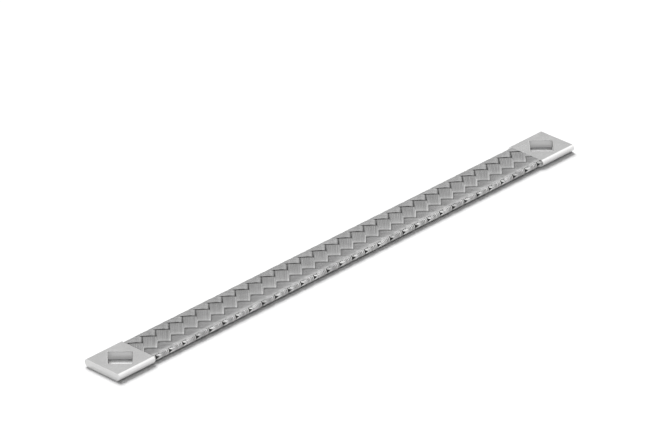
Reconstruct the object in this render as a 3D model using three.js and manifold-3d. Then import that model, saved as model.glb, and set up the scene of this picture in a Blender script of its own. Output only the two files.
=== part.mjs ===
// A flexible busbar braid: a flat link of woven tinned copper with a pressed palm at each end.
// Ten strands of wire are braided into a tube, and the tube is pressed flat. Its ends are pressed
// solid into the two palms, each with a square hole for the square neck of a coach bolt.
// Millimetres. +X runs along the link to the far palm, +Y to its far edge, +Z up from its underside.
import * as THREE from "three";
import { mergeVertices } from "three/addons/utils/BufferGeometryUtils.js";
import Module from "manifold-3d";

// The link
const linkLength = 300;

// The palms
const palmLength = 22;
const palmThickness = 3.8;
const palmFlatWidth = 18.8;
const palmSideBulge = 1.35;
const palmSideFacets = 6;
const holeSide = 10.7;
const holeSetback = 11;

// The braid
const braidWidth = 19.6;
const braidThickness = 4;
const strandsPerLay = 5;
const weavePitch = 8.39;
const weaveSideShift = 0.35;
const weaveStart = -0.87;

// The strands
const strandThickness = 0.6;
const strandGap = 0.4;
const strandBevel = 0.3;
const layerClearance = 0.2;
const floatDroop = 0.12;
const floatDroopLength = 1;

// The columns of the weave in which a left-hand strand floats over, at mid-width of each face
const leftFloat = 2;

const tinnedPalm = new THREE.MeshStandardMaterial({ color: 0xbdbfc0, roughness: 0.45, metalness: 0.8 });
const tinnedWire = new THREE.MeshStandardMaterial({ color: 0xa6a8a9, roughness: 0.5, metalness: 0.8 });

const wasm = await Module();
wasm.setup();

// A closed three.js geometry as a solid that can be cut
function solidOf(geometry) {
  const bare = geometry.index ? geometry.toNonIndexed() : geometry.clone();
  bare.deleteAttribute("normal");
  bare.deleteAttribute("uv");
  const merged = mergeVertices(bare, 1e-4);
  return new wasm.Manifold(
    new wasm.Mesh({
      numProp: 3,
      vertProperties: new Float32Array(merged.attributes.position.array),
      triVerts: new Uint32Array(merged.index.array),
    }),
  );
}

// A solid as a flat-shaded three.js geometry
function geometryOf(solid) {
  const mesh = solid.getMesh();
  const indexed = new THREE.BufferGeometry();
  indexed.setAttribute("position", new THREE.BufferAttribute(mesh.vertProperties, 3));
  indexed.setIndex(new THREE.BufferAttribute(mesh.triVerts, 1));
  const flat = indexed.toNonIndexed();
  flat.computeVertexNormals();
  return flat;
}

function namedMesh(name, geometry, material) {
  const mesh = new THREE.Mesh(geometry, material);
  mesh.name = name;
  return mesh;
}

// The palm's section, with flat faces and bulging sides, extruded along the link from X = 0
function palmBlock() {
  const half = palmFlatWidth / 2;
  const side = (across, turn) => {
    const radius = (palmThickness ** 2 / 4 + palmSideBulge ** 2) / (2 * palmSideBulge);
    const centre = across * (half + palmSideBulge - radius);
    const reach = Math.asin(palmThickness / 2 / radius);
    const spread = palmSideBulge > radius ? Math.PI - reach : reach;
    const points = [];
    for (let i = 0; i <= palmSideFacets; i++) {
      const angle = turn * spread * (2 * i / palmSideFacets - 1);
      points.push(new THREE.Vector2(
        centre + across * radius * Math.cos(angle),
        palmThickness / 2 + radius * Math.sin(angle),
      ));
    }
    return points;
  };
  const section = new THREE.Shape([...side(1, 1), ...side(-1, -1)]);
  const block = new THREE.ExtrudeGeometry(section, { depth: palmLength, bevelEnabled: false });
  // The section's x becomes the link's +Y, its y the link's +Z and its depth the link's +X
  block.applyMatrix4(new THREE.Matrix4().makeBasis(
    new THREE.Vector3(0, 1, 0),
    new THREE.Vector3(0, 0, 1),
    new THREE.Vector3(1, 0, 0),
  ));
  return block;
}

// A square prism that stands on its corners along and across the link, taller than the palm
function holeCutter() {
  const corner = holeSide / Math.SQRT2;
  const square = new THREE.Shape([
    new THREE.Vector2(corner, 0),
    new THREE.Vector2(0, corner),
    new THREE.Vector2(-corner, 0),
    new THREE.Vector2(0, -corner),
  ]);
  const prism = new THREE.ExtrudeGeometry(square, { depth: 3 * palmThickness, bevelEnabled: false });
  return prism.translate(holeSetback, 0, -palmThickness);
}

const palmGeometry = geometryOf(solidOf(palmBlock()).subtract(solidOf(holeCutter())));

// The braid's middle layer, seen along the link, is a long flat loop. Each end is a fold of four
// 45 degree bends round the fold radius, so every stretch of the loop is flat. A place on the braid
// is how far round the loop it lies, from mid-width of the top towards the far edge, how far along
// the link, and how far out of the middle layer.
const bendsPerFold = 4;
const bendAngle = Math.PI / bendsPerFold;
const layerOffset = (strandThickness + layerClearance) / 2;
const foldRadius = braidThickness / 2 - layerOffset - strandThickness / 2;
const foldCentre = braidWidth / 2 - braidThickness / 2;

// A bend of the loop, in the plane across the link, moved out of the middle layer
function bendPoint(bend, outward) {
  const index = THREE.MathUtils.euclideanModulo(bend, 2 * bendsPerFold);
  const angle = (index + 0.5) * bendAngle;
  const reach = (foldRadius + outward) / Math.cos(bendAngle / 2);
  const side = index < bendsPerFold ? 1 : -1;
  return new THREE.Vector2(
    side * foldCentre + reach * Math.sin(angle),
    braidThickness / 2 + reach * Math.cos(angle),
  );
}

// How far round the loop each bend lies, and the length of the whole loop
const bendsAt = [bendPoint(0, 0).x];
for (let bend = 1; bend <= 2 * bendsPerFold; bend++) {
  bendsAt.push(bendsAt[bend - 1] + bendPoint(bend, 0).distanceTo(bendPoint(bend - 1, 0)));
}
const loopLength = bendsAt.pop() - bendsAt[0];

function placeOnBraid(around, along, outward) {
  const round = THREE.MathUtils.euclideanModulo(around - bendsAt[0], loopLength) + bendsAt[0];
  const bend = bendsAt.findLastIndex((at) => at <= round);
  const next = bendsAt[bend + 1] ?? bendsAt[0] + loopLength;
  const share = (round - bendsAt[bend]) / (next - bendsAt[bend]);
  const point = bendPoint(bend, outward).lerp(bendPoint(bend + 1, outward), share);
  return new THREE.Vector3(along, point.x, point.y);
}

// The strands cross in columns that run along the link, evenly spaced round the loop, and their
// centre lines make a lattice. Step s of a strand is its crossing with the s-th strand of the
// other lay. A left-hand strand goes along the link as it goes round, a right-hand one goes back.
const columns = 2 * strandsPerLay;
const columnWidth = loopLength / columns;
const crossingStep = weavePitch / 2;
const strandSpacing = 2 * columnWidth * crossingStep / Math.hypot(columnWidth, crossingStep);
const strandHalf = (1 - strandGap / strandSpacing) / 2;
const bevelShare = strandBevel / strandSpacing;
const droopShare = floatDroopLength / strandSpacing;
const braidEnd = linkLength / 2 - palmLength;

const aroundAt = (sum) => weaveSideShift + (sum + 0.5) * columnWidth;
const sumAt = (around) => (around - weaveSideShift) / columnWidth - 0.5;

// Whether a strand of the lay is on the outside where it crosses the other lay in this column
function isOutside(lay, column) {
  const left = THREE.MathUtils.euclideanModulo(column + leftFloat / 2, strandsPerLay) < leftFloat;
  return lay === "left" ? left : !left;
}

// One section of a strand: four points, narrower on the outside, each at its own place on the braid
function strandSection(lay, index, rise, stepOf) {
  const half = strandThickness / 2;
  const outline = [
    [-strandHalf, -half],
    [strandHalf, -half],
    [strandHalf - bevelShare, half],
    [-strandHalf + bevelShare, half],
  ];
  return outline.map(([sideways, up]) => {
    const other = index + (lay === "left" ? sideways : -sideways);
    const step = stepOf(other);
    const along = weaveStart + (lay === "left" ? step - other : other - step) * crossingStep;
    return placeOnBraid(aroundAt(step + other), along, rise + up);
  });
}

// The sections of a strand in order: at each change of layer, and at each bend of the loop
function strandSections(lay, index) {
  const sections = [];
  const onStep = (rise, step) => sections.push(strandSection(lay, index, rise, () => step));
  const onBend = (rise, around) =>
    sections.push(strandSection(lay, index, rise, (other) => sumAt(around) - other));
  const reach = (braidEnd + Math.abs(weaveStart)) / crossingStep + strandsPerLay;
  for (let step = Math.floor(-reach); step <= reach; step++) {
    const outside = isOutside(lay, step + index);
    const rise = outside ? layerOffset : -layerOffset;
    const startsHere = isOutside(lay, step + index - 1) !== outside;
    const endsHere = isOutside(lay, step + index + 1) !== outside;
    const edgeRise = outside ? rise - floatDroop : rise;
    if (startsHere) onStep(edgeRise, step - strandHalf);
    if (startsHere && outside) onStep(rise, step - strandHalf + droopShare);
    const from = aroundAt(step + index - 0.5);
    for (let turn = Math.floor(from / loopLength) - 1; turn * loopLength < from + loopLength; turn++) {
      for (const at of bendsAt) {
        const around = at + turn * loopLength;
        if (around >= from && around < from + columnWidth) onBend(rise, around);
      }
    }
    if (endsHere && outside) onStep(rise, step + strandHalf - droopShare);
    if (endsHere) onStep(edgeRise, step + strandHalf);
  }
  return sections;
}

// A closed solid through a row of sections
function loft(sections) {
  const corners = sections[0].length;
  const positions = sections.flat().flatMap((point) => point.toArray());
  const faces = [];
  for (let i = 0; i + 1 < sections.length; i++) {
    for (let k = 0; k < corners; k++) {
      const a = i * corners + k;
      const b = i * corners + (k + 1) % corners;
      faces.push(a, b, b + corners, a, b + corners, a + corners);
    }
  }
  const last = (sections.length - 1) * corners;
  for (let k = 1; k + 1 < corners; k++) {
    faces.push(0, k + 1, k, last, last + k, last + k + 1);
  }
  const geometry = new THREE.BufferGeometry();
  geometry.setAttribute("position", new THREE.Float32BufferAttribute(positions, 3));
  geometry.setIndex(faces);
  return geometry;
}

// The stretch between the palms, taller and wider than the braid
const stretch = solidOf(
  new THREE.BoxGeometry(2 * braidEnd, 2 * braidWidth, 4 * braidThickness),
);

function strandGeometry(lay, index) {
  return geometryOf(solidOf(loft(strandSections(lay, index))).intersect(stretch));
}

const link = new THREE.Group();

const nearPalm = namedMesh("palm_near", palmGeometry, tinnedPalm);
nearPalm.position.x = -linkLength / 2;
link.add(nearPalm);

const farPalm = namedMesh("palm_far", palmGeometry, tinnedPalm);
farPalm.position.x = linkLength / 2;
farPalm.rotation.z = Math.PI;
link.add(farPalm);

const braid = new THREE.Group();
for (const lay of ["left", "right"]) {
  for (let index = 0; index < strandsPerLay; index++) {
    braid.add(namedMesh(`strand_${lay}_${index + 1}`, strandGeometry(lay, index), tinnedWire));
  }
}
link.add(braid);

export default link;
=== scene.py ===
"""The looks of a flexible busbar braid: two pressed palms and ten strands of tinned wire.

Metres throughout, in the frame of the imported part: +X along the link to the far palm, +Y across it
to its far edge, +Z up from its underside.
"""

import math
import random

import bpy
from mathutils import Matrix, Vector
from mathutils.kdtree import KDTree


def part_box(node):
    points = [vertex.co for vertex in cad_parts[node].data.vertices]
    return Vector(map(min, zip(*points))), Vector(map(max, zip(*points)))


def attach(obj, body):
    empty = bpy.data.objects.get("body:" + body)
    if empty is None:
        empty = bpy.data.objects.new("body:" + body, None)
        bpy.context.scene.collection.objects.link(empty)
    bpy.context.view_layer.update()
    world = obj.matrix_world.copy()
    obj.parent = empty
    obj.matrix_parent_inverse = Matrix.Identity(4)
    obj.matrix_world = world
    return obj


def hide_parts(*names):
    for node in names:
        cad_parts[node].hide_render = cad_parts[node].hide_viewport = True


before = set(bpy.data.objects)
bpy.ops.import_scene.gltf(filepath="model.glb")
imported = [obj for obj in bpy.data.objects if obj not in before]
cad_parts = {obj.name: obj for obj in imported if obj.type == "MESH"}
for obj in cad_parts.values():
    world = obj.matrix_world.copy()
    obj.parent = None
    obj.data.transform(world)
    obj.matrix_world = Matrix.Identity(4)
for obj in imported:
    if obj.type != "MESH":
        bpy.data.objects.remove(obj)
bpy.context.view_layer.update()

MM = 0.001

# The palms, read from the frame where a box gives the size
NEAR_LOW, NEAR_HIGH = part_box("palm_near")
FAR_LOW, FAR_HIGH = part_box("palm_far")
PALM_THICKNESS = NEAR_HIGH.z - NEAR_LOW.z
PALM_HALF_WIDTH = NEAR_HIGH.y
PALM_WIDEST_AT = 2.2 * MM
PALM_TOP_INSET = 1.05 * MM
PALM_FOOT_INSET = 1.60 * MM
PALM_SIDE_POWER = 2.15
PALM_SIDE_ROWS = 15
PALM_EDGE_ROUND = 0.12 * MM
PALM_FOOT_ROUND = 0.30 * MM
PALM_SHARP_EDGE = math.radians(50)
PALM_ROUND_ABOVE = math.radians(32)
PALM_SMOOTH_BELOW = math.radians(25)
HOLE_SIDE = 10.7 * MM
HOLE_SETBACK = 11 * MM
TINY = 1e-6

# The braid
BRAID_LOW, BRAID_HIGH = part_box("strand_right_1")
BRAID_NEAR_END = BRAID_LOW.x
BRAID_FAR_END = BRAID_HIGH.x
BRAID_HALF_WIDTH = BRAID_HIGH.y
BRAID_THICKNESS = BRAID_HIGH.z - BRAID_LOW.z
STRANDS_PER_LAY = 5
COLUMNS = 2 * STRANDS_PER_LAY
WEAVE_PITCH = 8.39 * MM
WEAVE_SIDE_SHIFT = 0.35 * MM
WEAVE_START = -0.87 * MM
STRAND_THICKNESS = 0.6 * MM
LAYER_OFFSET = 0.4 * MM
BENDS_PER_FOLD = 4

# The wires of a strand
WIRES = 8
WIRE_SIDES = 8
WIRE_PITCH = {"left": 0.69 * MM, "right": 0.71 * MM}
WIRE_RADIUS = {"left": 0.58 * MM, "right": 0.345 * MM}
WIRE_FLATNESS = {"left": 0.22, "right": 1.0}
WIRE_SMOOTH_BELOW = math.radians(65)

# How far out of the middle layer the wires run, lower at the edges of a strand, except for the last
# wire of the left lay, which stands proud
TOP_RISE = 0.69 * MM
INSIDE_RISE = 0.88 * MM
EDGE_DROP = {"left": 0.06 * MM, "right": 0.05 * MM}
EDGE_DROP_POWER = 6
PROUD_EDGE = 0.05 * MM

# How a strand dives where it changes layer, and how it arches from there to the middle of its float
DIVE_LENGTH = 0.25 * MM
ARCH_LENGTH = {"left": 4.4 * MM, "right": 3.6 * MM}
ARCH_DROP = {"left": 0.50 * MM, "right": 0.48 * MM}

# The steps at which a wire gets points: round each dive, and midway between two dives
DIVE_STATIONS = (-0.42, -0.30, -0.20, -0.11, -0.05, 0.0, 0.05, 0.11, 0.20, 0.30, 0.42)
MIDWAY_STATIONS = {"left": (2, 3), "right": (1, 2)}

# The flattened tube: lower towards its edges, round at its folds
CROWN = 0.04
CROWN_POWER = 4
FOLD_ROUNDNESS = 2.0
FOLD_AHEAD = 0.96
FOLD_ROWS = 12

# The wires get painted shade deep in the weave and beside each dive
SHADE_BELOW = -0.05 * MM
UNSHADED_ABOVE = 0.36 * MM
SHADE_NEAR_DIVE = {"left": 0.55 * MM, "right": 0.05 * MM}
UNSHADED_FROM_DIVE = {"left": 1.6 * MM, "right": 0.80 * MM}

# Round a fold the first wires of a right-hand strand are pushed onto the others, which parts the
# strands, and the wires inside are packed close under those outside
PARTING = 1.25 * MM
PARTING_POWER = 2
PARTING_FROM = math.radians(42)
FOLD_PACKING = 0.5 * MM

# The steps over which a strand floats, and how far its float starts and ends past the even weave
FLOATS = {"left": (-1.5, 0.5), "right": (0.5, 3.5)}
FLOAT_SHIFTS = {"left": (0.0, 0.50 * MM), "right": (0.25 * MM, -0.45 * MM)}

# How far the first wire of a strand lies off its even place, at the start of a float and later on
# in it, and then the same for the last wire. The change comes and goes over these steps.
EDGE_SHIFTS = {
    "left": ((-0.55 * MM, -0.55 * MM), (-0.42 * MM, 0.10 * MM)),
    "right": ((0.56 * MM, 0.0), (0.0, 0.0)),
}
LATE_FROM = (0.7, 1.3)
LATE_UNTIL = (2.5, 4.5)

# The fold radius of the middle layer, as the solids have it, and the loop that this layer makes
FOLD_RADIUS = BRAID_THICKNESS / 2 - LAYER_OFFSET - STRAND_THICKNESS / 2
FOLD_CENTRE = BRAID_HALF_WIDTH - BRAID_THICKNESS / 2
FOLD_LENGTH = 2 * BENDS_PER_FOLD * FOLD_RADIUS * math.tan(math.pi / BENDS_PER_FOLD / 2)
LOOP_LENGTH = 2 * FOLD_LENGTH + 4 * FOLD_CENTRE
COLUMN_WIDTH = LOOP_LENGTH / COLUMNS
HALF_FACE = LOOP_LENGTH / 4
CROSSING_STEP = WEAVE_PITCH / 2
STEP_LENGTH = math.hypot(COLUMN_WIDTH, CROSSING_STEP)
STRAND_SPACING = 2 * COLUMN_WIDTH * CROSSING_STEP / STEP_LENGTH

# The tone of each wire, from 0 dark to 1 light. The left lay is painted darker than the right as
# painted shade, and its last wire is painted light as a highlight along the strand's edge.
PAINTED_SHADE_TONES = (0, 0.25)
PAINTED_LIGHT_TONES = (0.7, 1.0)

# How far past the start of a fold the wires get a painted highlight, and where that weakens again
FOLD_HIGHLIGHT_FROM = (1.0 * MM, 1.6 * MM)
FOLD_HIGHLIGHT_UNTIL = (1.7 * MM, 2.0 * MM)
FOLD_HIGHLIGHT_LEFT = 0.4


def deselect_all():
    if bpy.context.object and bpy.context.object.mode != "OBJECT":
        bpy.ops.object.mode_set(mode="OBJECT")
    bpy.ops.object.select_all(action="DESELECT")


def pick(piece):
    deselect_all()
    piece.select_set(True)
    bpy.context.view_layer.objects.active = piece


def select_where(piece, verts=None, edges=None, mode="VERT"):
    """In edit mode, selects what a test on the mesh says, and nothing else."""
    bpy.ops.mesh.select_mode(type=mode)
    bpy.ops.mesh.select_all(action="DESELECT")
    bpy.ops.object.mode_set(mode="OBJECT")
    mesh = piece.data
    if verts:
        for vertex in mesh.vertices:
            vertex.select = verts(vertex.co)
    if edges:
        for edge in mesh.edges:
            a, b = (mesh.vertices[i].co for i in edge.vertices)
            edge.select = edges(a, b)
    bpy.ops.object.mode_set(mode="EDIT")


# Shader tools


class Value:
    """A number in a shader, for use in Python expressions."""

    def __init__(self, shader, socket):
        self.shader = shader
        self.socket = socket

    def _with(self, operation, *operands):
        return self.shader.node("ShaderNodeMath", {"operation": operation}, list(operands)).value()

    def __add__(self, other):
        return self._with("ADD", self, other)

    def __radd__(self, other):
        return self._with("ADD", other, self)

    def __sub__(self, other):
        return self._with("SUBTRACT", self, other)

    def __rsub__(self, other):
        return self._with("SUBTRACT", other, self)

    def __mul__(self, other):
        return self._with("MULTIPLY", self, other)

    def __rmul__(self, other):
        return self._with("MULTIPLY", other, self)

    def __truediv__(self, other):
        return self._with("DIVIDE", self, other)

    def __pow__(self, other):
        return self._with("POWER", self, other)

    def __abs__(self):
        return self._with("ABSOLUTE", self)

    def at_least(self, other):
        return self._with("MAXIMUM", self, other)


class Node:
    """One node of a shader, with its outputs by name."""

    def __init__(self, shader, made):
        self.shader = shader
        self.made = made

    def out(self, name=0):
        return self.made.outputs[name]

    def value(self, name=0):
        return Value(self.shader, self.out(name))


class Shader:
    """A node tree with one method that adds any node."""

    def __init__(self, owner):
        owner.use_nodes = True
        self.tree = owner.node_tree
        self.tree.nodes.clear()

    def node(self, kind, settings=None, inputs=None):
        made = self.tree.nodes.new(kind)
        for name, setting in (settings or {}).items():
            setattr(made, name, setting)
        pairs = inputs.items() if isinstance(inputs, dict) else enumerate(inputs or [])
        for name, given in pairs:
            if isinstance(given, Value):
                given = given.socket
            if isinstance(given, bpy.types.NodeSocket):
                self.tree.links.new(given, made.inputs[name])
            elif given is not None:
                made.inputs[name].default_value = given
        return Node(self, made)

    def ramp(self, factor, low, high, to_low=0.0, to_high=1.0, smooth=True):
        kind = "SMOOTHSTEP" if smooth else "LINEAR"
        return self.node(
            "ShaderNodeMapRange",
            {"interpolation_type": kind, "clamp": True},
            {
                "Value": factor,
                "From Min": low,
                "From Max": high,
                "To Min": to_low,
                "To Max": to_high,
            },
        ).value("Result")

    def mix_colour(self, factor, first, second):
        return self.node(
            "ShaderNodeMix",
            {"data_type": "RGBA", "blend_type": "MIX"},
            {"Factor": factor, 6: first, 7: second},
        ).out(2)

    def noise(self, place, scale, detail):
        return self.node(
            "ShaderNodeTexNoise",
            {"noise_dimensions": "3D"},
            {"Vector": place, "Scale": scale, "Detail": detail},
        ).value()

    def even_noise(self, noise):
        """A noise stretched to go from 0 to 1."""
        return self.ramp(noise, 0.3, 0.7)


def grey(level, warmth=0.0):
    """A linear grey, with a touch of warmth in it."""
    return (level * (1 + warmth), level, level * (1 - warmth), 1.0)


# The tones of the tin
PALM_DARK, PALM_LIGHT = grey(0.65, 0.004), grey(0.70, 0.002)
# The walls of the square hole are coloured darker: painted shade inside the hole
HOLE_WALL_SHADE = grey(0.50, 0.004)
WIRE_DARK, WIRE_LIGHT = grey(0.30, 0.002), grey(0.54, 0.002)
# The painted highlight on the wires round a fold
FOLD_HIGHLIGHT_DARK, FOLD_HIGHLIGHT_LIGHT = grey(0.44, 0.002), grey(0.78, 0.002)
# Painted shade: the colour of wires deep in the weave and beside each dive
WIRE_PAINTED_SHADE = grey(0.14, 0.002)

# The fineness of the textures, per metre
PALM_CLOUDS = 160.0
PALM_GRAIN = 5200.0
PALM_SCUFFS = 2600.0
SCUFF_STRETCH = (0.12, 1.0, 1.0)
WIRE_CLOUDS = 220.0
WIRE_GRAIN = 3800.0

# Where the painted shade on the hole's walls starts, just inside the hole's edge
HOLE_SHADE_FROM = 0.06 * MM
HOLE_SHADE_FULL = 0.01 * MM


def pressed_tin():
    """The smooth tinned skin of a palm: a satin face with fine pressing grain and faint scuffs."""
    material = bpy.data.materials.new("pressed_tin")
    shader = Shader(material)
    place = shader.node("ShaderNodeTexCoord").out("Object")
    cloud = shader.noise(place, PALM_CLOUDS, 3.0)
    grain = shader.noise(place, PALM_GRAIN, 2.0)
    along = shader.node(
        "ShaderNodeMapping", {"vector_type": "POINT"}, {"Vector": place, "Scale": SCUFF_STRETCH}
    ).out()
    scuff = shader.ramp(shader.noise(along, PALM_SCUFFS, 3.0), 0.60, 0.72)
    tone = shader.even_noise(cloud) * 0.5 + shader.even_noise(grain) * 0.5
    tin = shader.mix_colour(tone.socket, PALM_DARK, PALM_LIGHT)

    # The walls of the square hole are painted darker than the skin: painted shade inside the hole
    parts = shader.node("ShaderNodeSeparateXYZ", {}, [place])
    off_hole = abs(abs(parts.value("X")) - (FAR_HIGH.x - HOLE_SETBACK))
    square = off_hole + abs(parts.value("Y"))
    corner = HOLE_SIDE / math.sqrt(2)
    hole_wall_shade = shader.ramp(square, corner + HOLE_SHADE_FROM, corner + HOLE_SHADE_FULL, smooth=False)
    colour = shader.mix_colour(hole_wall_shade.socket, tin, HOLE_WALL_SHADE)
    rough = 0.20 + tone * 0.05 + scuff * 0.05
    height = grain * 0.7 + scuff * -0.3
    bump = shader.node(
        "ShaderNodeBump", {}, {"Strength": 0.06, "Distance": 0.00003, "Height": height}
    ).out()
    skin = shader.node(
        "ShaderNodeBsdfPrincipled",
        {},
        {"Base Color": colour, "Metallic": 1.0, "Roughness": rough, "Normal": bump},
    ).out()
    shader.node("ShaderNodeOutputMaterial", {}, {"Surface": skin})
    return material


def tinned_wire():
    """Tinned wire: a tone of its own, painted shade in the weave, a painted highlight at folds."""
    material = bpy.data.materials.new("tinned_wire")
    shader = Shader(material)
    place = shader.node("ShaderNodeTexCoord").out("Object")
    own = shader.node("ShaderNodeAttribute", {"attribute_name": "wire_tone"}).value("Fac")
    cloud = shader.noise(place, WIRE_CLOUDS, 3.0)
    fine = shader.noise(place, WIRE_GRAIN, 2.0)
    tone = own * 0.6 + shader.even_noise(cloud) * 0.2 + shader.even_noise(fine) * 0.2
    # Each wire's own tone carries painted light and shade by lay, under random clouds and grain
    toned_with_painted_light = shader.mix_colour(tone.socket, WIRE_DARK, WIRE_LIGHT)

    # How far out of the middle of the tube's wall a place lies, and how far past the flats
    parts = shader.node("ShaderNodeSeparateXYZ", {}, [place])
    across, height = parts.value("Y"), parts.value("Z")
    flat = 1 - CROWN * (across / BRAID_HALF_WIDTH) ** CROWN_POWER
    past = (abs(across) - FOLD_CENTRE).at_least(0)
    rise = abs(height - BRAID_THICKNESS / 2) / flat
    reach = (past**FOLD_ROUNDNESS + rise**FOLD_ROUNDNESS) ** (1 / FOLD_ROUNDNESS)
    outward = reach - FOLD_RADIUS

    # A painted highlight round each fold, weaker low on its side; it also lifts the painted shade
    fold_highlight = shader.ramp(past, *FOLD_HIGHLIGHT_FROM)
    fold_highlight_share = fold_highlight * shader.ramp(past, *FOLD_HIGHLIGHT_UNTIL, 1.0, FOLD_HIGHLIGHT_LEFT)
    light = shader.ramp(own, *PAINTED_LIGHT_TONES)
    fold_highlight_colour = shader.mix_colour(light.socket, FOLD_HIGHLIGHT_DARK, FOLD_HIGHLIGHT_LIGHT)
    unshaded_colour = shader.mix_colour(fold_highlight_share.socket, toned_with_painted_light, fold_highlight_colour)
    # Painted shade where a wire lies low in the tube's wall, deep in the weave
    out_of_crevice = shader.ramp(outward, SHADE_BELOW, UNSHADED_ABOVE).at_least(fold_highlight * 0.9)
    painted_shade = shader.node("ShaderNodeAttribute", {"attribute_name": "wire_painted_shade"}).value("Fac")
    bright = out_of_crevice * (1 - painted_shade)
    colour = shader.mix_colour(bright.socket, WIRE_PAINTED_SHADE, unshaded_colour)
    rough = 0.22 + (1 - tone) * 0.06 + (1 - bright) * 0.2
    bump = shader.node(
        "ShaderNodeBump", {}, {"Strength": 0.15, "Distance": 0.00002, "Height": fine}
    ).out()
    skin = shader.node(
        "ShaderNodeBsdfPrincipled",
        {},
        {"Base Color": colour, "Metallic": 1.0, "Roughness": rough, "Normal": bump},
    ).out()
    shader.node("ShaderNodeOutputMaterial", {}, {"Surface": skin})
    return material


# The palms


def inset_at(height):
    """How far the palm's side lies inside its widest place, at a height above the underside."""
    if height > PALM_WIDEST_AT:
        share, inset = (height - PALM_WIDEST_AT) / (PALM_THICKNESS - PALM_WIDEST_AT), PALM_TOP_INSET
    else:
        share, inset = 1 - height / PALM_WIDEST_AT, PALM_FOOT_INSET
    return inset * share**PALM_SIDE_POWER


def make_palm(name, low, high, hole_x, finish):
    """A block with bulging sides and a square hole turned 45 degrees."""
    deselect_all()
    length = high.x - low.x
    bpy.ops.mesh.primitive_cube_add(
        size=1,
        location=((low.x + high.x) / 2, 0, PALM_THICKNESS / 2),
        scale=(length, 2 * PALM_HALF_WIDTH, PALM_THICKNESS),
    )
    palm = bpy.context.object
    palm.name = palm.data.name = name
    bpy.ops.object.transform_apply(location=True, rotation=True, scale=True)
    bpy.ops.object.mode_set(mode="EDIT")
    select_where(palm, edges=lambda a, b: abs(a.z - b.z) > PALM_THICKNESS / 2, mode="EDGE")
    bpy.ops.mesh.subdivide(number_cuts=PALM_SIDE_ROWS)
    for row in range(PALM_SIDE_ROWS + 2):
        height = PALM_THICKNESS * row / (PALM_SIDE_ROWS + 1)
        for side in (-1, 1):
            select_where(
                palm,
                verts=lambda co: abs(co.z - height) < TINY and co.y * side > 0,
            )
            bpy.ops.transform.translate(value=(0, -side * inset_at(height), 0))
    bpy.ops.object.mode_set(mode="OBJECT")

    deselect_all()
    bpy.ops.mesh.primitive_cube_add(
        size=1,
        location=(hole_x, 0, PALM_THICKNESS / 2),
        rotation=(0, 0, math.radians(45)),
        scale=(HOLE_SIDE, HOLE_SIDE, 3 * PALM_THICKNESS),
    )
    cutter = bpy.context.object
    pick(palm)
    cut = palm.modifiers.new("bolt_hole", "BOOLEAN")
    cut.operation = "DIFFERENCE"
    cut.solver = "EXACT"
    cut.object = cutter
    bpy.ops.object.modifier_apply(modifier=cut.name)
    bpy.data.objects.remove(cutter)

    # The long edges of the underside are rounder than the others
    pick(palm)
    bpy.ops.object.mode_set(mode="EDIT")
    bpy.ops.mesh.select_mode(type="EDGE")
    bpy.ops.mesh.select_all(action="DESELECT")
    bpy.ops.mesh.edges_select_sharp(sharpness=PALM_SHARP_EDGE)
    bpy.ops.object.mode_set(mode="OBJECT")
    for edge in palm.data.edges:
        a, b = (palm.data.vertices[i].co for i in edge.vertices)
        at_foot = max(a.z, b.z) < TINY and abs(a.y - b.y) < TINY
        edge.select = edge.select and at_foot
    bpy.ops.object.mode_set(mode="EDIT")
    bpy.ops.mesh.bevel(offset=PALM_FOOT_ROUND, offset_type="OFFSET", segments=3, affect="EDGES")
    bpy.ops.object.mode_set(mode="OBJECT")

    edges = palm.modifiers.new("edge_round", "BEVEL")
    edges.width = PALM_EDGE_ROUND
    edges.segments = 2
    edges.limit_method = "ANGLE"
    edges.angle_limit = PALM_ROUND_ABOVE
    bpy.ops.object.modifier_apply(modifier=edges.name)
    bpy.ops.object.shade_smooth_by_angle(angle=PALM_SMOOTH_BELOW)
    flats = palm.modifiers.new("even_flats", "WEIGHTED_NORMAL")
    flats.keep_sharp = True
    bpy.ops.object.modifier_apply(modifier=flats.name)
    palm.data.materials.append(finish)
    return palm


# The strands


def around_at(total):
    """How far round the loop a place lies, from its steps along a strand of each lay together."""
    return WEAVE_SIDE_SHIFT + (total + 0.5) * COLUMN_WIDTH


def total_at(around):
    """The steps of both lays together at a place round the loop."""
    return (around - WEAVE_SIDE_SHIFT) / COLUMN_WIDTH - 0.5


def fold_section(turned):
    """A place on the outline of a fold of radius 1, after a turn from the flat towards the side."""
    sine, cosine = math.sin(turned), math.cos(turned)
    reach = (abs(sine) ** FOLD_ROUNDNESS + abs(cosine) ** FOLD_ROUNDNESS) ** (1 / FOLD_ROUNDNESS)
    return sine / reach, cosine / reach


def fold_table():
    """Turns of a quarter of the fold, with how far each lies past the start of the fold.

    The weave runs ahead on the first half of it, and the wires go straight down round the side.
    """
    turns = [math.pi / 2 * i / FOLD_ROWS for i in range(FOLD_ROWS + 1)]
    radius = BRAID_THICKNESS / 2
    places = [0.0]
    for first, second in zip(turns, turns[1:]):
        a, b = fold_section(first), fold_section(second)
        places.append(places[-1] + radius * math.hypot(b[0] - a[0], b[1] - a[1]))
    quarter = HALF_FACE - FOLD_CENTRE
    half = places[FOLD_ROWS // 2]
    table = []
    for turn, at in zip(turns, places):
        late = (at - half) / (places[-1] - half)
        share = FOLD_AHEAD * at / half if at < half else FOLD_AHEAD + (1 - FOLD_AHEAD) * late
        table.append((turn, quarter * share))
    return table


FOLD_TABLE = fold_table()


def turned_at(past):
    """The turn at a distance past the start of the fold, up to the middle of its side."""
    for (turn, at), (next_turn, next_at) in zip(FOLD_TABLE, FOLD_TABLE[1:]):
        if past <= next_at:
            return turn + (next_turn - turn) * (past - at) / (next_at - at)
    return math.pi / 2


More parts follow.
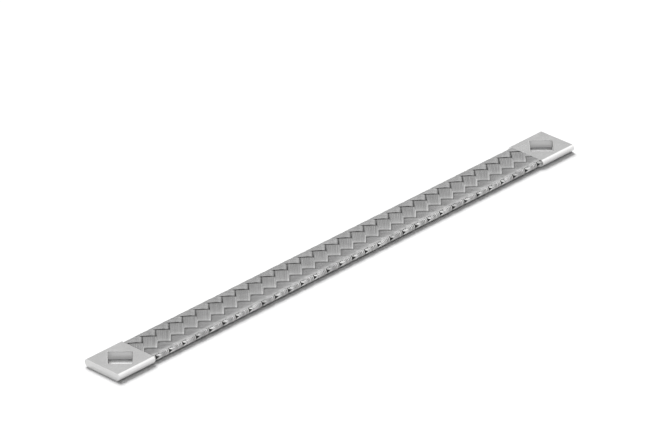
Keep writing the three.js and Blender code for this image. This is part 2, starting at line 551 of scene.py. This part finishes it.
def face_place(around):
    """The face that a place round the loop is on, 1 top or -1 below, and how far from mid-width."""
    around = (around + HALF_FACE) % LOOP_LENGTH - HALF_FACE
    if around <= HALF_FACE:
        return 1, around
    return -1, around - 2 * HALF_FACE


def on_braid(around, along, outward):
    """A place on the flattened tube: how far round, how far along and how far out of its wall."""
    face, offset = face_place(around)
    edge = 1 if offset > 0 else -1
    past = abs(offset) - FOLD_CENTRE
    if past <= 0:
        across, height = face * offset, FOLD_RADIUS + outward
    else:
        sideways, upright = fold_section(turned_at(past))
        across = face * edge * (FOLD_CENTRE + (FOLD_RADIUS + outward) * sideways)
        height = (FOLD_RADIUS + outward) * upright
    flat = 1 - CROWN * (across / BRAID_HALF_WIDTH) ** CROWN_POWER
    return Vector((along, across, BRAID_THICKNESS / 2 + face * height * flat))


def smooth(value, low, high):
    """Goes from 0 at low to 1 at high, and starts and ends gently."""
    share = min(max((value - low) / (high - low), 0), 1)
    return share * share * (3 - 2 * share)


def folded_at(around):
    """How far a place lies round a fold: 0 on the flats, 1 in the middle of its side."""
    past = abs(face_place(around)[1]) - FOLD_CENTRE
    return smooth(turned_at(past), PARTING_FROM, math.pi / 2) if past > 0 else 0.0


def edge_shift(lay, step, edge):
    """How far a wire lies off its even place: edge goes from -1 to 1 across the strand."""
    phase = (step - FLOATS[lay][0]) % STRANDS_PER_LAY
    late = smooth(phase, *LATE_FROM) * (1 - smooth(phase, *LATE_UNTIL))
    before, after = (first + (second - first) * late for first, second in EDGE_SHIFTS[lay])
    return before * (1 - edge) / 2 + after * (1 + edge) / 2


def crossing_at(lay, step):
    """Whether a strand is outside at a step along it, and how far from where it changes layer."""
    (first, last), (late, later) = FLOATS[lay], FLOAT_SHIFTS[lay]
    phase = (step - first) % STRANDS_PER_LAY
    start, end = late / STEP_LENGTH, last - first + later / STEP_LENGTH
    outside = start < phase < end
    away = min(
        abs(phase - change + turn * STRANDS_PER_LAY)
        for change in (start, end)
        for turn in (-1, 0, 1)
    )
    return outside, away * STEP_LENGTH


def rise_at(lay, step):
    """How far out of the middle layer a strand's centre lies at a step along it."""
    outside, away = crossing_at(lay, step)
    dive = 1 - math.exp(-away / DIVE_LENGTH)
    if not outside:
        return -INSIDE_RISE * dive
    top = TOP_RISE - WIRE_RADIUS[lay] * WIRE_FLATNESS[lay]
    return (top - ARCH_DROP[lay] * max(1 - away / ARCH_LENGTH[lay], 0) ** 2) * dive


def strand_stations(lay, first, last):
    """The steps at which a wire gets a point: close together where it dives and where it folds.

    Each is ("step", value) for a line across the strand, or ("around", value) for one along a fold.
    """
    found = []
    start, end = (at + shift / STEP_LENGTH for at, shift in zip(FLOATS[lay], FLOAT_SHIFTS[lay]))
    for turn in range(first // STRANDS_PER_LAY, last // STRANDS_PER_LAY + 1):
        for change in (start + turn * STRANDS_PER_LAY, end + turn * STRANDS_PER_LAY):
            for offset in DIVE_STATIONS:
                found.append((change + offset, "step", change + offset))
        for midway in MIDWAY_STATIONS[lay]:
            at = midway + turn * STRANDS_PER_LAY
            found.append((at, "step", at))
    face = math.floor(around_at(first) / (2 * HALF_FACE))
    while (face - 1) * 2 * HALF_FACE < around_at(last):
        fold = (face + 0.5) * 2 * HALF_FACE
        for row in range(0, FOLD_ROWS + 1, 2):
            off_middle = HALF_FACE - FOLD_CENTRE - FOLD_TABLE[row][1]
            for around in {fold - off_middle, fold + off_middle}:
                if first < total_at(around) < last:
                    found.append((total_at(around), "around", around))
        face += 1
    return [(kind, value) for _, kind, value in sorted(found)]


def make_lay(lay):
    """One long strand of parallel wires, as long as the braid and one shift of each copy more."""
    half_length = (BRAID_FAR_END - BRAID_NEAR_END) / 2
    extra = STRANDS_PER_LAY * WEAVE_PITCH
    span = half_length + extra
    first = math.floor(-span / CROSSING_STEP)
    last = math.ceil(span / CROSSING_STEP)
    stations = strand_stations(lay, first, last)

    # A flat grid with a row of points for each wire, which then goes to its place on the braid
    deselect_all()
    bpy.ops.mesh.primitive_grid_add(
        x_subdivisions=len(stations) - 1, y_subdivisions=WIRES - 1, size=2
    )
    strand = bpy.context.object
    mesh = strand.data
    wire_at = {}
    middles = KDTree(len(mesh.vertices))
    shade_of_point = []
    for vertex in mesh.vertices:
        station = round((vertex.co.x + 1) / 2 * (len(stations) - 1))
        wire = round((vertex.co.y + 1) / 2 * (WIRES - 1))
        wire_at[vertex.index] = wire
        edge = (wire - (WIRES - 1) / 2) / ((WIRES - 1) / 2)
        kind, value = stations[station]

        # Step counts along this strand, and other along the strands that cross it
        other = (wire - (WIRES - 1) / 2) * WIRE_PITCH[lay] / STRAND_SPACING
        folded = folded_at(around_at(value + other) if kind == "step" else value)
        pushed = folded * ((1 - edge) / 2) ** PARTING_POWER if lay == "right" else 0
        even_step = value if kind == "step" else total_at(value) - other
        other += (edge_shift(lay, even_step, edge) + PARTING * pushed) / STRAND_SPACING
        step = value if kind == "step" else total_at(value) - other
        along = step - other if lay == "left" else other - step
        outward = rise_at(lay, step) - EDGE_DROP[lay] * edge**EDGE_DROP_POWER
        outward += PROUD_EDGE if lay == "left" and wire == WIRES - 1 else 0
        outside, away = crossing_at(lay, step)
        outward += 0 if outside else FOLD_PACKING * folded

        place = on_braid(around_at(step + other), WEAVE_START + along * CROSSING_STEP, outward)
        vertex.co = place
        middles.insert(place, len(shade_of_point))
        # Painted shade beside each dive, and on inside wires away from a fold
        if outside:
            shade_of_point.append(1 - smooth(away, SHADE_NEAR_DIVE[lay], UNSHADED_FROM_DIVE[lay]))
        else:
            shade_of_point.append(1 - min(2 * folded, 1))
    middles.balance()

    # Only the edges along the wires stay
    bpy.ops.object.mode_set(mode="EDIT")
    bpy.ops.mesh.select_all(action="SELECT")
    bpy.ops.mesh.delete(type="ONLY_FACE")
    bpy.ops.mesh.select_mode(type="EDGE")
    bpy.ops.mesh.select_all(action="DESELECT")
    bpy.ops.object.mode_set(mode="OBJECT")
    for edge in mesh.edges:
        a, b = edge.vertices
        edge.select = wire_at[a] != wire_at[b]
    bpy.ops.object.mode_set(mode="EDIT")
    bpy.ops.mesh.delete(type="EDGE")
    bpy.ops.object.mode_set(mode="OBJECT")

    # Each line of points becomes a round wire
    bpy.ops.object.convert(target="CURVE")
    curve = bpy.context.object.data
    curve.bevel_depth = WIRE_RADIUS[lay]
    curve.bevel_resolution = WIRE_SIDES // 2 - 2
    curve.use_fill_caps = True
    bpy.ops.object.convert(target="MESH")
    strand = bpy.context.object
    mesh = strand.data

    # Each ring of a wire is pressed flat on the tube, and takes the painted shade of its middle
    painted_shade = mesh.attributes.new("wire_painted_shade", "FLOAT", "POINT")
    for first_vertex in range(0, len(mesh.vertices), WIRE_SIDES):
        ring = range(first_vertex, first_vertex + WIRE_SIDES)
        middle = sum((mesh.vertices[i].co for i in ring), Vector()) / WIRE_SIDES
        nearest = middles.find(middle)[1]
        off_fold = max(abs(middle.y) - FOLD_CENTRE, 0) * math.copysign(1, middle.y)
        outwards = Vector((0, off_fold, middle.z - BRAID_THICKNESS / 2)).normalized()
        for i in ring:
            vertex = mesh.vertices[i]
            vertex.co -= outwards * (vertex.co - middle).dot(outwards) * (1 - WIRE_FLATNESS[lay])
            painted_shade.data[i].value = shade_of_point[nearest]
    return strand


def give_tones(strand, lay, seed):
    """Gives each wire a tone of its own, light ones as painted light and dark as painted shade."""
    mesh = strand.data
    draw = random.Random(seed)
    tones = mesh.attributes.new("wire_tone", "FLOAT", "POINT")
    per_wire = len(mesh.vertices) // WIRES
    values = []
    for wire in range(WIRES):
        # The right lay and the left lay's last wire get light tones, as painted light
        light = wire == WIRES - 1 or lay == "right"
        values += [draw.uniform(*(PAINTED_LIGHT_TONES if light else PAINTED_SHADE_TONES))] * per_wire
    tones.data.foreach_set("value", values)


def turn_outwards(strand):
    """Turns the faces of every wire that is inside out: its volume comes out below zero."""
    mesh = strand.data
    linked = list(range(len(mesh.vertices)))

    def wire_of(vertex):
        """The lowest vertex of the wire that a vertex is on, as far as the wires are linked yet."""
        while linked[vertex] != vertex:
            linked[vertex] = linked[linked[vertex]]
            vertex = linked[vertex]
        return vertex

    for edge in mesh.edges:
        a, b = (wire_of(vertex) for vertex in edge.vertices)
        linked[max(a, b)] = min(a, b)
    volumes = {}
    mesh.calc_loop_triangles()
    for triangle in mesh.loop_triangles:
        wire = wire_of(triangle.vertices[0])
        a, b, c = (mesh.vertices[i].co - mesh.vertices[wire].co for i in triangle.vertices)
        volumes[wire] = volumes.get(wire, 0) + a.dot(b.cross(c))
    pick(strand)
    bpy.ops.object.mode_set(mode="EDIT")
    bpy.ops.mesh.select_mode(type="FACE")
    bpy.ops.mesh.select_all(action="DESELECT")
    bpy.ops.object.mode_set(mode="OBJECT")
    for face in mesh.polygons:
        face.select = volumes[wire_of(face.vertices[0])] < 0
    bpy.ops.object.mode_set(mode="EDIT")
    bpy.ops.mesh.flip_normals()
    bpy.ops.object.mode_set(mode="OBJECT")


def make_strand(lay, index, master, finish):
    """A copy of the lay's long strand, moved along by whole pitches and cut off at both palms."""
    strand = master.copy()
    strand.data = master.data.copy()
    strand.name = strand.data.name = f"wires_{lay}_{index + 1}"
    bpy.context.scene.collection.objects.link(strand)
    give_tones(strand, lay, f"{lay} {index}")
    pick(strand)
    way = -1 if lay == "left" else 1
    strand.location.x = way * index * WEAVE_PITCH
    bpy.ops.object.transform_apply(location=True, rotation=False, scale=False)
    bpy.ops.object.mode_set(mode="EDIT")
    for end, outward in ((BRAID_NEAR_END, -1), (BRAID_FAR_END, 1)):
        bpy.ops.mesh.select_all(action="SELECT")
        bpy.ops.mesh.bisect(plane_co=(end, 0, 0), plane_no=(outward, 0, 0), clear_outer=True)

    # The cut ends of the wires are closed
    bpy.ops.mesh.select_all(action="SELECT")
    bpy.ops.mesh.fill_holes(sides=0)
    bpy.ops.mesh.select_all(action="SELECT")
    bpy.ops.mesh.normals_make_consistent(inside=False)
    bpy.ops.object.mode_set(mode="OBJECT")
    turn_outwards(strand)
    bpy.ops.object.shade_smooth_by_angle(angle=WIRE_SMOOTH_BELOW)
    strand.data.materials.clear()
    strand.data.materials.append(finish)
    return strand


palm_finish = pressed_tin()
wire_finish = tinned_wire()

near_hole, far_hole = NEAR_LOW.x + HOLE_SETBACK, FAR_HIGH.x - HOLE_SETBACK
near_palm = make_palm("pressed_palm_near", NEAR_LOW, NEAR_HIGH, near_hole, palm_finish)
far_palm = make_palm("pressed_palm_far", FAR_LOW, FAR_HIGH, far_hole, palm_finish)
for piece, node in ((near_palm, "palm_near"), (far_palm, "palm_far")):
    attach(piece, "root")
    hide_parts(node)

for lay in ("left", "right"):
    master = make_lay(lay)
    for index in range(STRANDS_PER_LAY):
        strand = make_strand(lay, index, master, wire_finish)
        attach(strand, "root")
        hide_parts(f"strand_{lay}_{index + 1}")
    bpy.data.objects.remove(master)

# The studio

# The floor, and how much of its white the metal mirrors
FLOOR_HALF = 4.0
FLOOR_LEVEL = 1.0
FLOOR_GLOW = 0.55

# The lamps
KEY_STRENGTH = 3.2
KEY_ANGLE = 30
KEY_FROM = Vector((0.42, 0.84, 1.0))
FILL_STRENGTH = 0.85
FILL_ANGLE = 90
FILL_FROM = Vector((0.1, 0.1, 1.0))
AMBIENT = 0.06

# What the metal mirrors: grey walls, lighter on the far side, a softbox, a lit right side, and a
# glow high up on the far side. Each pair is where it starts and where it is full, as the cosine of
# the angle to its middle, or as the height of the ray.
WALLS = 0.49
FAR_SIDE = Vector((0.73, 0.68, 0))
FAR_WALL = 0.17
FAR_WALL_EDGE = (0.1, 0.6)
SOFTBOX = Vector((0.77, -0.28, 0.57))
SOFTBOX_EDGE = (0.87, 0.95)
SOFTBOX_FOOT = (0.08, 0.28)
RIGHT_SIDE = Vector((0.681, -0.732, 0))
RIGHT_GLOW = 0.66
RIGHT_EDGE = (0.07, 0.24)
RIGHT_DIM_ABOVE = (0.52, 0.70)
RIGHT_DIM = 0.65
HIGH_GLOW = 1.10
HIGH_EDGE = (0.55, 0.72)
HIGH_FOOT = (0.50, 0.72)
HIGH_TOP = (0.96, 0.86)
HIGH_NEAR_SHARE = 0.1

# The camera, in degrees and in the frame's axes
CAMERA_AZIMUTH = -47.058
CAMERA_ELEVATION = 27.950
CAMERA_ROLL = 0.297
CAMERA_TARGET = Vector((17.39, 25.70, 2.0)) * MM
CAMERA_DISTANCE = 2667.9 * MM
CAMERA_LENS = 327.42
CAMERA_SENSOR = 36.0


def make_floor():
    deselect_all()
    bpy.ops.mesh.primitive_plane_add(size=2 * FLOOR_HALF, location=(0, 0, 0))
    floor = bpy.context.object
    floor.name = "floor"
    material = bpy.data.materials.new("white_floor")
    shader = Shader(material)
    white = grey(FLOOR_LEVEL)
    paper = shader.node("ShaderNodeBsdfDiffuse", {}, {"Color": white, "Roughness": 0.0}).out()
    glow = shader.node("ShaderNodeEmission", {}, {"Color": white, "Strength": 1.0}).out()
    share = mirrored_rays(shader.node("ShaderNodeLightPath")) * FLOOR_GLOW
    seen = shader.node("ShaderNodeMixShader", {}, [share, paper, glow]).out()
    shader.node("ShaderNodeOutputMaterial", {}, {"Surface": seen})
    floor.data.materials.append(material)


def mirrored_rays(path):
    """What shiny surfaces mirror to the camera, without the light that they throw on the floor."""
    gloss = path.value("Is Glossy Ray").at_least(path.value("Is Transmission Ray"))
    return (gloss - path.value("Diffuse Depth")).at_least(0)


def make_world():
    """A white studio to the camera, which the metal mirrors as grey walls with lit places."""
    world = bpy.data.worlds.new("studio")
    bpy.context.scene.world = world
    shader = Shader(world)
    direction = shader.node("ShaderNodeTexCoord").out("Generated")
    height = shader.node("ShaderNodeSeparateXYZ", {}, [direction]).value("Z")

    def toward(centre):
        return shader.node(
            "ShaderNodeVectorMath",
            {"operation": "DOT_PRODUCT"},
            {0: direction, 1: centre.normalized()},
        ).value("Value")

    softbox = shader.ramp(toward(SOFTBOX), *SOFTBOX_EDGE) * shader.ramp(height, *SOFTBOX_FOOT)
    dimmed = shader.ramp(height, *RIGHT_DIM_ABOVE, 1.0, RIGHT_DIM)
    right = shader.ramp(toward(RIGHT_SIDE), *RIGHT_EDGE) * dimmed
    behind = shader.ramp(toward(FAR_SIDE), *HIGH_EDGE)
    band = shader.ramp(height, *HIGH_FOOT) * shader.ramp(height, *HIGH_TOP)
    high = band * (HIGH_NEAR_SHARE + behind * (1 - HIGH_NEAR_SHARE))
    far = shader.ramp(toward(FAR_SIDE), *FAR_WALL_EDGE)
    glow = (right * RIGHT_GLOW).at_least(high * HIGH_GLOW)
    mirrored = WALLS + far * FAR_WALL + softbox.at_least(glow)
    path = shader.node("ShaderNodeLightPath")
    seen = path.value("Is Camera Ray")
    gloss = mirrored_rays(path)
    level = seen + (1 - seen) * (gloss * mirrored + (1 - gloss) * AMBIENT)
    sky = shader.node("ShaderNodeBackground", {}, {"Color": grey(1.0), "Strength": level}).out()
    shader.node("ShaderNodeOutputWorld", {}, {"Surface": sky})


def make_lamp(name, strength, spread, source):
    """A soft lamp far off. Metal mirrors the softboxes of the world instead of it."""
    sun = bpy.data.lights.new(name, "SUN")
    sun.energy = strength
    sun.angle = math.radians(spread)
    lamp = bpy.data.objects.new(name, sun)
    lamp.visible_glossy = False
    lamp.rotation_mode = "QUATERNION"
    lamp.rotation_quaternion = source.to_track_quat("Z", "Y")
    bpy.context.scene.collection.objects.link(lamp)


def make_camera():
    azimuth, elevation = math.radians(CAMERA_AZIMUTH), math.radians(CAMERA_ELEVATION)
    back = Vector((
        math.sin(azimuth) * math.cos(elevation),
        -math.cos(azimuth) * math.cos(elevation),
        math.sin(elevation),
    ))
    right = Vector((math.cos(azimuth), math.sin(azimuth), 0))
    up = back.cross(right)
    roll = Matrix.Rotation(math.radians(CAMERA_ROLL), 3, "Z")
    turn = Matrix((right, up, back)).transposed() @ roll
    data = bpy.data.cameras.new("camera")
    data.sensor_width = CAMERA_SENSOR
    data.lens = CAMERA_LENS
    data.clip_start = 0.01
    data.clip_end = 100
    camera = bpy.data.objects.new("camera", data)
    camera.rotation_mode = "QUATERNION"
    camera.rotation_quaternion = turn.to_quaternion()
    camera.location = CAMERA_TARGET + back * CAMERA_DISTANCE
    bpy.context.scene.collection.objects.link(camera)
    bpy.context.scene.camera = camera


make_floor()
make_world()
make_lamp("key", KEY_STRENGTH, KEY_ANGLE, KEY_FROM)
make_lamp("fill", FILL_STRENGTH, FILL_ANGLE, FILL_FROM)
make_camera()
bpy.context.scene.view_settings.view_transform = "Standard"

bpy.context.view_layer.update()
